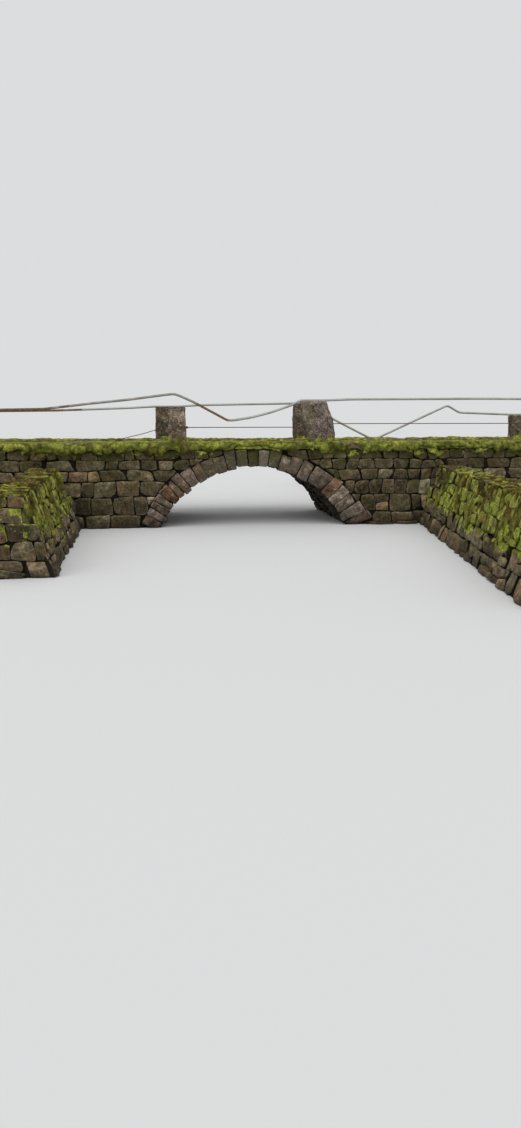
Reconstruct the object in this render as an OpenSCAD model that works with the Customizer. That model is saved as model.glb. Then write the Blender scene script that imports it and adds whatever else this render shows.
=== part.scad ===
// Small dry stone arch bridge over still water, with rough granite posts and bent tube rails.
// +X runs along the bridge, +Y runs along the waterway, +Z is up.
// The origin is at the middle of the bridge, at the water line.

/* [Arch] */
// Clear span of the arch at the water line
span = 3760; // [3200:20:4200]
// Height of the arch crown above the water line
rise = 1200; // [1000:10:1400]
// Thickness of the arch stones, measured along the radius
ring_t = 320; // [200:5:360]
// How far the face stones of the arch reach into the bridge
ring_depth = 400; // [300:10:600]

/* [Bridge body] */
// Width of the bridge from face to face
bridge_w = 2850; // [2200:10:3600]
// Depth of stone and turf over the crown of the arch
crown_cover = 150; // [150:5:400]
// Thickness of the face walls over the arch
spandrel_t = 400; // [250:10:600]
// Width of the wall face between the arch stones and a wing wall
face_w = 1230; // [1000:10:2000]
// Length of the approach behind each wing wall
approach_l = 3540; // [2000:10:4500]

/* [Deck] */
// Thickness of the edge stones and of the turf between them
edge_t = 130; // [80:5:140]
// Width of the edge stones
edge_w = 420; // [300:10:600]
// How far the edge stones stand out from the face
edge_over = 90; // [0:5:120]

/* [Wing walls] */
// Length of the left wing walls
left_wing_l = 5050; // [1500:50:8000]
// Length of the right wing walls
right_wing_l = 7900; // [1500:50:8000]
// Height of a wing wall above the water
wing_h = 1180; // [700:10:1400]
// Width of a wing wall at its top
wing_top_w = 550; // [300:10:700]
// Width of a wing wall at its foot
wing_foot_w = 930; // [750:10:1200]
// Turn of the front left wing wall towards the waterway, in degrees
front_left_wing_turn = 0.5; // [0:0.5:12]
// Turn of the front right wing wall towards the waterway, in degrees
front_right_wing_turn = 9; // [0:0.5:12]
// Turn of both back wing walls towards the waterway, in degrees
back_wing_turn = 0.5; // [0:0.5:12]

/* [Posts] */
// Depth of a post along the waterway
post_depth = 300; // [200:10:400]
// Distance from the face of the bridge to the middle of a post
post_inset = 230; // [200:5:320]
// Width of an end post
end_post_w = 360; // [250:10:450]
// Distance from the end of the bridge to the middle of an end post
end_post_inset = 300; // [250:10:600]
// Distance from the foot of the arch stones inwards to the middle of the front left post
front_left_post_in = 700; // [500:10:900]
// Width of the front left post
front_left_post_w = 345; // [250:5:450]
// Height of the front left post over the deck
front_left_post_h = 720; // [500:10:760]
// Distance from the foot of the arch stones inwards to the middle of the front right post
front_right_post_in = 810; // [600:10:900]
// Width of the foot of the front right post
front_right_post_w = 495; // [400:5:600]
// How far the top of the front right post leans to the left
front_right_post_lean = 176; // [0:2:200]
// How much wider the front right post is at half height
front_right_post_swell = 155; // [0:5:200]
// Distance from the foot of the arch stones inwards to the middle of the back left post
back_left_post_in = 530; // [350:10:750]
// Width of the back left post
back_left_post_w = 450; // [300:5:550]
// Distance from the foot of the arch stones inwards to the middle of the back right post
back_right_post_in = 730; // [600:10:850]
// Width of the back right post
back_right_post_w = 500; // [300:5:550]

/* [Rails] */
// Outer diameter of the rail tube
rail_d = 48; // [34:1:60]
// Depth of the groove that a rail rests in on a post
seat_depth = 12; // [6:1:20]
// How far a rail runs on past the middle of an end post
rail_over = 150; // [60:5:220]
// Diameter of the thin rods at half height
rod_d = 16; // [10:1:20]
// Depth of the hole that a rod end sits in
rod_hole = 60; // [40:5:80]
// Height of the front rod of the middle bay over the deck
front_centre_rod_h = 318; // [200:2:400]
// Height of the front rod of the right bay over the deck
front_right_rod_h = 387; // [200:1:420]
// Length of the collar at the left end of the middle rod
collar_l = 50; // [30:5:80]
// Outer diameter of that collar
collar_d = 44; // [34:2:60]
// Space between a rail or rod and the stone it sits in
fit_gap = 0.3; // [0.1:0.1:0.5]

/* [Hidden] */
$fn = 48;

FRONT = -1;
BACK = 1;
LEFT = -1;
RIGHT = 1;

// Sides of the large circles
arc_sides = 720;
// Radius and centre height of the round underside of the arch
arch_r = (pow(span / 2, 2) + pow(rise, 2)) / (2 * rise);
arch_z = rise - arch_r;
// Outer radius of the arch stones and where they meet the water line
ring_r = arch_r + ring_t;
spring_x = sqrt(pow(ring_r, 2) - pow(arch_z, 2));

deck_z = rise + ring_t + crown_cover;
bed_z = deck_z - edge_t;
wing_x = spring_x + face_w;
half_l = wing_x + approach_l;
half_w = bridge_w / 2;
post_y = half_w - post_inset;
end_post_x = half_l - end_post_inset;
rail_end_x = end_post_x + rail_over;
rail_r = rail_d / 2;
front_left_post_x = front_left_post_in - spring_x;
front_right_post_x = spring_x - front_right_post_in;
back_left_post_x = back_left_post_in - spring_x;
back_right_post_x = spring_x - back_right_post_in;
reach = 2 * (half_l + max(left_wing_l, right_wing_l));

// Heights of the rail axis over the deck where a rail rests on a post
front_left_end_rest = 640;
front_right_rest = 855;
front_right_end_rest = 885;
back_left_end_rest = 630;
back_left_rest = 743;
back_right_rest = 818;
back_right_end_rest = 560;

// A rail runs level over a post, and a little past it on both sides
seat_run = 20;
function over_post(x, w, h) = [[x - w / 2 - seat_run, h], [x + w / 2 + seat_run, h]];
front_right_top_x = front_right_post_x - front_right_post_lean;
front_right_seat = over_post(front_right_top_x, front_right_post_w, front_right_rest);
back_left_seat = over_post(back_left_post_x, back_left_post_w, back_left_rest);
back_right_seat = over_post(back_right_post_x, back_right_post_w, back_right_rest);

// Where the two lengths of the front rail meet, in a level stretch between the middle posts
front_joint = [-456, 458];
front_joint_run = [60, 0];
// Rails as points of distance from the middle and height of the tube's axis over the deck.
// The front rail has been pushed up over the left post and hangs down past it.
front_left_path = [
  [-rail_end_x, front_left_end_rest],
  over_post(-end_post_x, end_post_w, front_left_end_rest)[1],
  [-5200, 660], [-4115, 680], [-3181, 790], [-2485, 861], [-1650, 970], [-1560, 972], [-1422, 923],
  [-1179, 812], front_joint - front_joint_run, front_joint
];
front_centre_path = [
  front_joint, front_joint + front_joint_run, [-58, 508], [353, 610], [777, 752],
  front_right_seat[0], [front_right_top_x, front_right_rest]
];
front_right_path = [
  [front_right_top_x, front_right_rest], front_right_seat[1], [2013, 877], [4843, 895],
  over_post(end_post_x, end_post_w, front_right_end_rest)[0], [rail_end_x, front_right_end_rest]
];
back_left_path = [
  [-rail_end_x, back_left_end_rest],
  over_post(-end_post_x, end_post_w, back_left_end_rest)[1],
  [-5200, 642], [-4106, 655], [-2529, 710], back_left_seat[0], [back_left_post_x, back_left_rest]
];
back_centre_path = [
  [back_left_post_x, back_left_rest], back_left_seat[1], [-907, 776], [1100, 813],
  back_right_seat[0], [back_right_post_x, back_right_rest]
];
// The right part of the back rail is torn down onto the turf and rises again to the end post.
back_right_path = [
  [back_right_post_x, back_right_rest], back_right_seat[1], [2164, 465], [3050, rail_r],
  [3260, rail_r], [4930, 773], [5228, 606],
  over_post(end_post_x, end_post_w, back_right_end_rest)[0], [rail_end_x, back_right_end_rest]
];
// The back rod of the left bay has dropped onto the turf at its far end.
back_left_rod_path = [
  [-2760, rod_d / 2], [-2216, 136], [back_left_post_x - back_left_post_w / 2, 222]
];
// Length of a bend on each side of its corner
bend_run = 60;

// Plan outline of the stretch of material between two radii, above the water line
module arch_band(r_in, r_out) {
  difference() {
    intersection() {
      translate([0, arch_z]) circle(r_out, $fn = arc_sides);
      translate([-reach / 2, 0]) square(reach);
    }
    translate([0, arch_z]) circle(r_in, $fn = arc_sides);
  }
}

// Stands an outline of x and z up, from y_from towards +Y
module stand(y_from, depth) {
  translate([0, y_from + depth, 0]) rotate([90, 0, 0]) linear_extrude(depth) children();
}

module box(x0, x1, y0, y1, z0, z1) {
  translate([x0, y0, z0]) cube([x1 - x0, y1 - y0, z1 - z0]);
}

// Masonry

module abutment(side) {
  x0 = side == LEFT ? -half_l : spring_x;
  color("dimgray") box(x0, x0 + half_l - spring_x, -half_w, half_w, 0, bed_z);
}

module arch_barrel() {
  color("slategray") stand(-half_w + ring_depth, bridge_w - 2 * ring_depth) arch_band(arch_r, ring_r);
}

module arch_ring(face) {
  y_from = face == FRONT ? -half_w : half_w - ring_depth;
  color("rosybrown") stand(y_from, ring_depth) arch_band(arch_r, ring_r);
}

module over_arch_outline(x0, x1) {
  difference() {
    translate([x0, 0]) square([x1 - x0, bed_z]);
    translate([0, arch_z]) circle(ring_r, $fn = arc_sides);
  }
}

module spandrel(face, side) {
  y_from = face == FRONT ? -half_w : half_w - spandrel_t;
  color("gray") stand(y_from, spandrel_t)
    over_arch_outline(min(0, side * spring_x), max(0, side * spring_x));
}

module core_fill() {
  color("saddlebrown") stand(-half_w + spandrel_t, bridge_w - 2 * spandrel_t)
    over_arch_outline(-spring_x, spring_x);
}

module turf_deck() {
  color("olivedrab") box(-half_l, half_l, -half_w + edge_w, half_w - edge_w, bed_z, deck_z);
}

module edge_stones(face, x0, x1) {
  y0 = face == FRONT ? -half_w - edge_over : half_w - edge_w;
  color("yellowgreen") box(x0, x1, y0, y0 + edge_w + edge_over, bed_z, deck_z);
}

// A wing wall leans back from the water on its wet side and is upright behind
module wing_wall(face, side, turn) {
  wing_l = side == LEFT ? left_wing_l : right_wing_l;
  lap = 300;
  color("darkkhaki") scale([side, -face, 1]) intersection() {
    translate([wing_x, -half_w, 0]) rotate([0, 0, -turn]) stand(-wing_l, wing_l + lap)
      polygon([[0, 0], [wing_foot_w, 0], [wing_foot_w, wing_h], [wing_foot_w - wing_top_w, wing_h]]);
    box(0, reach, -reach, -half_w, 0, reach);
  }
}

// Posts

// Outline of a post, its top moved sideways by lean and its middle wider by swell
module post_outline(w, h, lean = 0, swell = 0) {
  polygon([
    [-w / 2, 0], [w / 2, 0], [(lean + w + swell) / 2, h / 2], [lean + w / 2, h],
    [lean - w / 2, h], [(lean - w - swell) / 2, h / 2]
  ]);
}

module post(face, x, w, h, lean = 0, swell = 0) {
  color("rosybrown") translate([x, 0, deck_z])
    stand(face * post_y - post_depth / 2, post_depth) post_outline(w, h, lean, swell);
}

// A level round hole or groove along the bridge, at a height over the deck
module level_hole(face, x0, x1, h, d) {
  translate([x0, face * post_y, deck_z + h]) rotate([0, 90, 0])
    cylinder(d = d + 2 * fit_gap, h = x1 - x0);
}

// A post with a groove on its top that a rail rests in
module seated_post(face, x, w, rest, lean = 0, swell = 0) {
  difference() {
    post(face, x, w, rest - rail_r + seat_depth, lean, swell);
    level_hole(face, x + lean - w, x + lean + w, rest, rail_d);
  }
}

// Rods between the posts, held in holes in the stone
front_centre_rod_x = [
  front_left_post_x + front_left_post_w / 2 - rod_hole,
  front_right_post_x - (front_right_post_lean + front_right_post_w) / 2
];
front_right_rod_x = [
  front_right_post_x + front_right_post_w / 2 - rod_hole, end_post_x - end_post_w / 2 + rod_hole
];

module front_left_post() {
  difference() {
    post(FRONT, front_left_post_x, front_left_post_w, front_left_post_h);
    level_hole(FRONT, front_centre_rod_x[0], front_centre_rod_x[1], front_centre_rod_h, rod_d);
  }
}

module front_right_post() {
  difference() {
    seated_post(
      FRONT, front_right_post_x, front_right_post_w, front_right_rest,
      -front_right_post_lean, front_right_post_swell
    );
    level_hole(FRONT, front_centre_rod_x[0], front_centre_rod_x[1], front_centre_rod_h, rod_d);
    level_hole(FRONT, front_right_rod_x[0], front_right_rod_x[1], front_right_rod_h, rod_d);
  }
}

module end_post(face, side, rest) {
  seated_post(face, side * end_post_x, end_post_w, rest);
}

module front_right_end_post() {
  difference() {
    end_post(FRONT, RIGHT, front_right_end_rest);
    level_hole(FRONT, front_right_rod_x[0], front_right_rod_x[1], front_right_rod_h, rod_d);
  }
}

// Rails and rods

tube_sides = 20;
function unit(v) = v / norm(v);
function last(list) = len(list) - 1;

// A path with each inner corner replaced by the three points of a short bend
function with_bends(path) = [
  path[0],
  for (i = [1 : last(path) - 1])
    let (
      back = path[i - 1] - path[i],
      ahead = path[i + 1] - path[i],
      from = path[i] + unit(back) * min(bend_run, norm(back) / 3),
      to = path[i] + unit(ahead) * min(bend_run, norm(ahead) / 3)
    )
    each [from, (from + 2 * path[i] + to) / 4, to],
  path[last(path)]
];

// Direction of the tube at a point of its path, halfway between the stretches that meet there
function heading(path, i) =
  let (
    before = unit(path[max(i, 1)] - path[max(i, 1) - 1]),
    after = unit(path[min(i, last(path) - 1) + 1] - path[min(i, last(path) - 1)])
  )
  unit(before + after);

// Half the turn of the tube at a point widens its cut there
function mitre(path, i) = 1 / (heading(path, i) * unit(path[max(i, 1)] - path[max(i, 1) - 1]));

function tube_ring(path, i, r) =
  let (dir = heading(path, i), wide = r * mitre(path, i))
  [for (k = [0 : tube_sides - 1]) let (a = 360 * (k + 0.5) / tube_sides) [
    path[i][0] - dir[1] * wide * cos(a),
    r * sin(a),
    path[i][1] + dir[0] * wide * cos(a)
  ]];

// A tube of diameter d swept along points of distance and height
module swept_tube(path, d) {
  n = tube_sides;
  rings = last(path);
  polyhedron(
    [for (i = [0 : rings]) each tube_ring(path, i, d / 2)],
    [
      [for (k = [0 : n - 1]) k],
      for (i = [0 : rings - 1], k = [0 : n - 1])
        [i * n + k, (i + 1) * n + k, (i + 1) * n + (k + 1) % n, i * n + (k + 1) % n],
      [for (k = [n - 1 : -1 : 0]) rings * n + k]
    ]
  );
}

module rail(face, path) {
  color("silver") translate([0, face * post_y, deck_z]) swept_tube(with_bends(path), rail_d);
}

module level_rod(face, ends, h) {
  color("dimgray") translate([ends[0], face * post_y, deck_z + h]) rotate([0, 90, 0])
    cylinder(d = rod_d, h = ends[1] - ends[0]);
}

module back_left_rod() {
  color("dimgray") translate([0, post_y, deck_z]) swept_tube(with_bends(back_left_rod_path), rod_d);
}

module rod_collar() {
  collar_x = front_left_post_x + front_left_post_w / 2 + fit_gap;
  color("saddlebrown") difference() {
    translate([collar_x, -post_y, deck_z + front_centre_rod_h]) rotate([0, 90, 0])
      cylinder(d = collar_d, h = collar_l);
    level_hole(FRONT, collar_x - 1, collar_x + collar_l + 1, front_centre_rod_h, rod_d);
  }
}

abutment(LEFT);  // left_abutment
abutment(RIGHT);  // right_abutment
arch_barrel();
arch_ring(FRONT);  // front_arch_ring
arch_ring(BACK);  // back_arch_ring
spandrel(FRONT, LEFT);  // front_left_spandrel
spandrel(FRONT, RIGHT);  // front_right_spandrel
spandrel(BACK, LEFT);  // back_left_spandrel
spandrel(BACK, RIGHT);  // back_right_spandrel
core_fill();
turf_deck();
edge_stones(FRONT, -half_l, -spring_x);  // front_left_edge_stones
edge_stones(FRONT, -spring_x, spring_x);  // front_centre_edge_stones
edge_stones(FRONT, spring_x, half_l);  // front_right_edge_stones
edge_stones(BACK, -half_l, -spring_x);  // back_left_edge_stones
edge_stones(BACK, -spring_x, spring_x);  // back_centre_edge_stones
edge_stones(BACK, spring_x, half_l);  // back_right_edge_stones
wing_wall(FRONT, LEFT, front_left_wing_turn);  // front_left_wing_wall
wing_wall(FRONT, RIGHT, front_right_wing_turn);  // front_right_wing_wall
wing_wall(BACK, LEFT, back_wing_turn);  // back_left_wing_wall
wing_wall(BACK, RIGHT, back_wing_turn);  // back_right_wing_wall
front_left_post();
front_right_post();
seated_post(BACK, back_left_post_x, back_left_post_w, back_left_rest);  // back_left_post
seated_post(BACK, back_right_post_x, back_right_post_w, back_right_rest);  // back_right_post
end_post(FRONT, LEFT, front_left_end_rest);  // front_left_end_post
front_right_end_post();
end_post(BACK, LEFT, back_left_end_rest);  // back_left_end_post
end_post(BACK, RIGHT, back_right_end_rest);  // back_right_end_post
rail(FRONT, front_left_path);  // front_left_rail
rail(FRONT, front_centre_path);  // front_centre_rail
rail(FRONT, front_right_path);  // front_right_rail
rail(BACK, back_left_path);  // back_left_rail
rail(BACK, back_centre_path);  // back_centre_rail
rail(BACK, back_right_path);  // back_right_rail
level_rod(FRONT, front_centre_rod_x, front_centre_rod_h);  // front_centre_rod
level_rod(FRONT, front_right_rod_x, front_right_rod_h);  // front_right_rod
back_left_rod();
rod_collar();
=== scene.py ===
# Looks of a small dry stone arch bridge: single stones, moss, granite posts and weathered tube rails.
import math

import bpy
import numpy as np
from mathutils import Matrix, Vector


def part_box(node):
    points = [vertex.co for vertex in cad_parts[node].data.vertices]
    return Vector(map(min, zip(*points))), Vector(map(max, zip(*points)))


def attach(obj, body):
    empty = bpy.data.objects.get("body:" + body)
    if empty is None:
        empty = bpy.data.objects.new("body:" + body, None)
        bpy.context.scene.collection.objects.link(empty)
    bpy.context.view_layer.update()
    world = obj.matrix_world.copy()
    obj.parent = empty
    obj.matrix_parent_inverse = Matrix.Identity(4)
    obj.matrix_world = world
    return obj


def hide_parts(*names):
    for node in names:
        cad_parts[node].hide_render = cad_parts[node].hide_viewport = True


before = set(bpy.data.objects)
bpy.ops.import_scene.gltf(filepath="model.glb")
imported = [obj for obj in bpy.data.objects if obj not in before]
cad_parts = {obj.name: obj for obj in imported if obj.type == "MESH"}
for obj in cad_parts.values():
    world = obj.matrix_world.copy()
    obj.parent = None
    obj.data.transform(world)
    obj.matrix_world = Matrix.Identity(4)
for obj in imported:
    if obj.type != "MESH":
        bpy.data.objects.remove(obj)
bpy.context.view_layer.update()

# Sizes in metres, read from the frame where the frame holds them

ABUTMENT_LOW, ABUTMENT_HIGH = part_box("right_abutment")
SPRING_X = ABUTMENT_LOW[0]
HALF_L, HALF_W, BED_Z = ABUTMENT_HIGH
DECK_HALF_W, DECK_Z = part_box("turf_deck")[1][1:]
EDGE_OUT_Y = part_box("back_centre_edge_stones")[1][1]
RING_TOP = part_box("front_arch_ring")[1][2]
RING_T = 0.32
RING_OUT_R = (SPRING_X**2 + RING_TOP**2) / (2 * RING_TOP)
ARCH_Z = RING_TOP - RING_OUT_R
ARCH_R = RING_OUT_R - RING_T
SPRING_ANGLE = math.acos(-ARCH_Z / ARCH_R)

# Middle of the stones' faces over a wall's plane, depth of the dark core behind it, half the width of a joint
PROUD = 0.004
RECESS = 0.05
HALF_JOINT = 0.0065

# How far stones reach in: rubble, face stones of the arch, stones of its barrel
RUBBLE_TAIL = 0.09
RING_TAIL = 0.4
SOFFIT_TAIL = 0.12

# Kinds of stone: points around a stone, and how wide each ring on its face is
FINE = (26, (0.965, 0.86, 0.66, 0.44, 0.22))
PLAIN = (18, (0.96, 0.8, 0.42))
RING_STONE = (38, FINE[1])
SLAB = (44, FINE[1])
SOFFIT_STONE = (20, (0.96, 0.8, 0.5))
POST_STONE = (84, (0.97, 0.91, 0.82, 0.71, 0.6, 0.48, 0.36, 0.24, 0.12))

# Chips on a stone's face: their slope, direction, and how far out they start
CHIP_RANGES = ((0.1, 0.6), (0, 2 * math.pi), (0.08, 0.5))

# Roughness of stones: pairs of metres and waves per metre
ROUGH_FACE = ((0.010, 6), (0.005, 17), (0.002, 45))
ROUGH_RING = ((0.010, 6), (0.006, 17), (0.003, 42))
ROUGH_SOFFIT = ((0.008, 7), (0.004, 19))
ROUGH_WING = ((0.012, 6), (0.006, 17), (0.002, 45))
ROUGH_SLAB = ((0.008, 6), (0.005, 17), (0.002, 45))
ROUGH_POST = ((0.016, 4.5), (0.009, 13), (0.004, 37), (0.0015, 90))

# Smallest stone in square metres, before and after its joints are cut
LEAST_CELL = 0.004
LEAST_STONE = 0.003

FRONT, BACK = -1, 1
LEFT, RIGHT = -1, 1


# Noise on points, from hashed lattice values

HASH_AXES = (374761393, 668265263, 2246822519)
HASH_SEED = 3266489917
HASH_MIX = 1274126177


def lattice_value(cell, seed):
    """A fixed value from -1 to 1 for each whole-numbered point."""
    h = np.uint32(seed * HASH_SEED % 2**32)
    for axis, factor in enumerate(HASH_AXES):
        h = h + cell[:, axis].astype(np.uint32) * np.uint32(factor)
    h = (h ^ (h >> np.uint32(13))) * np.uint32(HASH_MIX)
    h = h ^ (h >> np.uint32(16))
    return h.astype(np.float64) / 2**31 - 1.0


def noise(points, per_metre, seed):
    """Smooth noise from -1 to 1 at points of shape (n, 3)."""
    q = points * per_metre
    cell = np.floor(q).astype(np.int64)
    t = q - cell
    t = t * t * (3 - 2 * t)
    total = np.zeros(len(points))
    for corner in range(8):
        step = np.array([corner & 1, corner >> 1 & 1, corner >> 2 & 1])
        weight = np.prod(np.where(step == 1, t, 1 - t), axis=1)
        total += weight * lattice_value(cell + step, seed)
    return total


def fractal(points, per_metre, seed):
    """Noise in three octaves."""
    return sum(0.5**k * noise(points, per_metre * 2**k, seed + 17 * k) for k in range(3)) / 1.6


def noise_vectors(points, per_metre, seed):
    return np.stack([noise(points, per_metre, seed + 101 * k) for k in range(3)], axis=1)


def smooth_step(x, low, high):
    t = np.clip((x - low) / (high - low), 0, 1)
    return t * t * (3 - 2 * t)


def bell(x, middle, reach):
    return np.exp(-((x - middle) / reach) ** 2)


# Outlines in the plane of a wall, as arrays of corners

# Joints: share of tight ones, and the widths of tight and of open ones against the mean
TIGHT_SHARE = 0.65
TIGHT = (0.3, 0.75)
OPEN = (0.9, 2.0)
# Least lap over the upright joints of the course below, and how far a joint moves on if it has less
LEAST_LAP = 0.05
MOVE_ON = 0.09
# Chance that a tall stone is two flat ones, and that the upper of them is cut across
SPLIT_CHANCE = 0.2
SPLIT_AGAIN = 0.35


def rectangle(u0, v0, u1, v1):
    return np.array([[u0, v0], [u1, v0], [u1, v1], [u0, v1]])


def clip(outline, normal, limit):
    """Keeps the part of a convex outline where normal . point <= limit."""
    kept = []
    side = outline @ normal - limit
    for i in range(len(outline)):
        a, b = outline[i - 1], outline[i]
        sa, sb = side[i - 1], side[i]
        if (sa <= 0) != (sb <= 0):
            kept.append(a + (b - a) * sa / (sa - sb))
        if sb <= 0:
            kept.append(b)
    return np.array(kept).reshape(-1, 2)


def crosses(outline):
    """For each side, twice the signed area between it and the origin."""
    x, y = outline.T
    return x * np.roll(y, -1) - np.roll(x, -1) * y


def area(outline):
    return 0.5 * abs(crosses(outline).sum()) if len(outline) > 2 else 0.0


def centroid(outline):
    cross = crosses(outline)
    return ((outline + np.roll(outline, -1, axis=0)) * cross[:, None]).sum(axis=0) / (3 * cross.sum())


def counter_clockwise(outline):
    return outline if crosses(outline).sum() > 0 else outline[::-1]


def round_corners(outline, cut):
    """Puts three points in the place of each corner."""
    ways = []
    for step in (1, -1):
        way = np.roll(outline, step, axis=0) - outline
        ways.append(way * np.minimum(cut / (np.linalg.norm(way, axis=1) + 1e-9), 0.35)[:, None])
    before, after = ways
    points = [outline + before, outline + 0.25 * (before + after), outline + after]
    return np.stack(points, axis=1).reshape(-1, 2)


def follow(corners):
    """How far along a path its corners are, and a function that gives the points at such distances."""
    steps = np.concatenate([[0], np.cumsum(np.linalg.norm(np.diff(corners, axis=0), axis=1))])

    def at(s):
        return np.column_stack([np.interp(s, steps, column) for column in corners.T])

    return steps, at


def resample(outline, count):
    """Even points along a closed outline, with the nearest one moved to each of its corners."""
    steps, at = follow(np.vstack([outline, outline[:1]]))
    wanted = np.linspace(0, steps[-1], count, endpoint=False)
    for corner in steps[:-1]:
        wanted[np.argmin(np.abs(wanted - corner))] = corner
    return at(wanted)


def outward(a, b):
    """The normal on the right of the way from a to b, as long as that way."""
    return np.array([b[1] - a[1], a[0] - b[0]])


def clip_to(outline, region):
    """The part of a convex outline inside a convex counter-clockwise region."""
    for i in range(len(region)):
        normal = outward(region[i - 1], region[i])
        if len(outline) > 2:
            outline = clip(outline, normal, normal @ region[i - 1])
    return outline


def narrow(outline, rng):
    """Draws each side of a stone in by half a joint, tight or open."""
    drawn = outline
    for i in range(len(outline)):
        normal = outward(outline[i - 1], outline[i])
        normal = normal / (np.linalg.norm(normal) + 1e-9)
        gap = HALF_JOINT * rng.uniform(*(TIGHT if rng.random() < TIGHT_SHARE else OPEN))
        if len(drawn) > 2:
            drawn = clip(drawn, normal, normal @ outline[i - 1] - gap)
    return drawn


def chop_corners(outline, rng, chance):
    """Knocks some corners off a stone."""
    middle = centroid(outline)
    size = math.sqrt(area(outline))
    for corner in outline.copy():
        if rng.random() < chance and len(outline) > 2:
            out = (corner - middle) / (np.linalg.norm(corner - middle) + 1e-9)
            angle = rng.uniform(-0.5, 0.5)
            cos, sin = math.cos(angle), math.sin(angle)
            turned = np.array([out[0] * cos - out[1] * sin, out[0] * sin + out[1] * cos])
            outline = clip(outline, turned, turned @ corner - size * rng.uniform(0.04, 0.18))
    return outline


def split_stone(outline, rng, axis):
    """Cuts a stone in two through its middle part, by a line roughly square to an axis."""
    span = np.ptp(outline, axis=0)[axis]
    slant = rng.uniform(-0.16, 0.16)
    normal = np.array([slant, 1.0]) if axis == 1 else np.array([1.0, slant])
    limit = normal @ centroid(outline) + span * rng.uniform(-0.14, 0.14)
    return [clip(outline, normal, limit), clip(outline, -normal, -limit)]


def course_heights(rng, high, tall):
    """Heights of rough courses that fill a wall, larger at the foot than at the top."""
    count = max(1, round(high / tall))
    heights = np.array([(1.3 - 0.5 * k / count) * rng.uniform(0.8, 1.2) for k in range(count)])
    return heights / heights.sum() * high


def course_perpends(rng, u0, u1, wide, high, below, fixed):
    """Places of the upright joints of a course, clear of those of the course below."""
    places = [u0 - rng.uniform(0.2, 1.0) * wide]
    while places[-1] < u1 + wide:
        u = places[-1] + max(0.75 * high, wide * rng.uniform(0.55, 1.6))
        if len(below) and np.abs(below - u).min() < LEAST_LAP:
            u += MOVE_ON
        places.append(u)
    places = np.array(places)
    if len(fixed):
        outside = (places < fixed[0] - 0.4 * wide) | (places > fixed[-1] + 0.4 * wide)
        places = np.sort(np.concatenate([places[outside], fixed]))
    return places


def rubble_cells(rng, region, wide, tall, heights=None, perpends=None, slant=0.035, chance=0.3, splits=()):
    """Outlines of roughly coursed stones that fill a convex region, with joints between them."""
    region = counter_clockwise(region)
    (u0, v0), (u1, v1) = region.min(axis=0), region.max(axis=0)
    if heights is None:
        heights = course_heights(rng, v1 - v0, tall)
    levels = v0 + np.concatenate([[0], np.cumsum(heights)])
    waves = rng.uniform(0, 2 * math.pi, (len(levels), 2))

    def bed(k, u):
        if k in (0, len(levels) - 1):
            return levels[k]
        swing = 0.011 * math.sin(1.9 * u + waves[k, 0]) + 0.013 * math.sin(4.7 * u + waves[k, 1])
        return levels[k] + swing * min(1.0, tall / 0.2)

    cells = []
    places = np.array([])
    for k, high in enumerate(heights):
        fixed = np.array(perpends[k] if perpends else [])
        course_wide = wide * (1.2 - 0.35 * k / len(heights))
        places = course_perpends(rng, u0, u1, course_wide, high, places, fixed)
        leans = rng.uniform(-slant, slant, len(places))
        for left, right, lean, next_lean in zip(places, places[1:], leans, leans[1:]):
            low = (left - lean, k), (right - next_lean, k)
            top = (right + next_lean, k + 1), (left + lean, k + 1)
            stone = np.array([(u, bed(row, u)) for u, row in low + top])
            wanted = any(np.hypot(*(centroid(stone) - spot)) < 0.1 for spot in splits)
            large = right - left > 0.7 * high and not len(fixed)
            parts = [stone]
            if wanted or (high > 0.75 * tall and rng.random() < SPLIT_CHANCE and large):
                parts = split_stone(stone, rng, 1)
                if rng.random() < SPLIT_AGAIN and not wanted:
                    parts = parts[:1] + split_stone(parts[1], rng, 0)
            for part in parts:
                part = clip_to(part, region)
                if area(part) < LEAST_CELL:
                    continue
                part = narrow(part, rng)
                if area(part) > LEAST_STONE:
                    part = chop_corners(part, rng, chance)
                if area(part) > LEAST_STONE:
                    cells.append(counter_clockwise(part))
    return cells


# Meshes, their points and their attributes


def new_object(name, data):
    obj = bpy.data.objects.new(name, data)
    bpy.context.scene.collection.objects.link(obj)
    return obj


def mesh_object(name, points, faces):
    mesh = bpy.data.meshes.new(name)
    mesh.from_pydata(points.tolist(), [], faces)
    mesh.update()
    mesh.shade_smooth()
    return new_object(name, mesh)


def write_attribute(obj, name, values):
    kind = "FLOAT" if values.ndim == 1 else "FLOAT_VECTOR"
    layer = obj.data.attributes.new(name, kind, "POINT")
    layer.data.foreach_set("value" if kind == "FLOAT" else "vector", values.astype(np.float32).ravel())


def read_points(obj, field="co"):
    """Places of a mesh's points, or their normals."""
    values = np.zeros(3 * len(obj.data.vertices), dtype=np.float32)
    obj.data.vertices.foreach_get(field, values)
    return values.reshape(-1, 3).astype(np.float64)


def grid(rows, columns):
    """Numbers of a grid's points, and the corners of its faces."""
    index = np.arange(rows * columns).reshape(rows, columns)
    corners = (index[:-1, :-1], index[:-1, 1:], index[1:, 1:], index[1:, :-1])
    return index, np.stack([corner.ravel() for corner in corners], axis=1)


def mirrored(place, u, v):
    """Whether a place function turns the faces at (u, v) inside out."""
    around = place(*(np.vstack([np.zeros(3), 1e-3 * np.eye(3)]) + (u, v, 0)).T)
    return np.linalg.det(around[1:] - around[0]) < 0


def settle(obj, material, replaced=None, sharp=None):
    """Gives a piece its sharp edges, material, body and slot, and the node that it takes the place of."""
    if sharp:
        obj.data.set_sharp_from_angle(angle=math.radians(sharp))
    obj.data.materials.append(material)
    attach(obj, "root")
    if replaced:
        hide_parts(replaced)


# Stones as closed meshes on a surface given by place(u, v, w)


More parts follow.
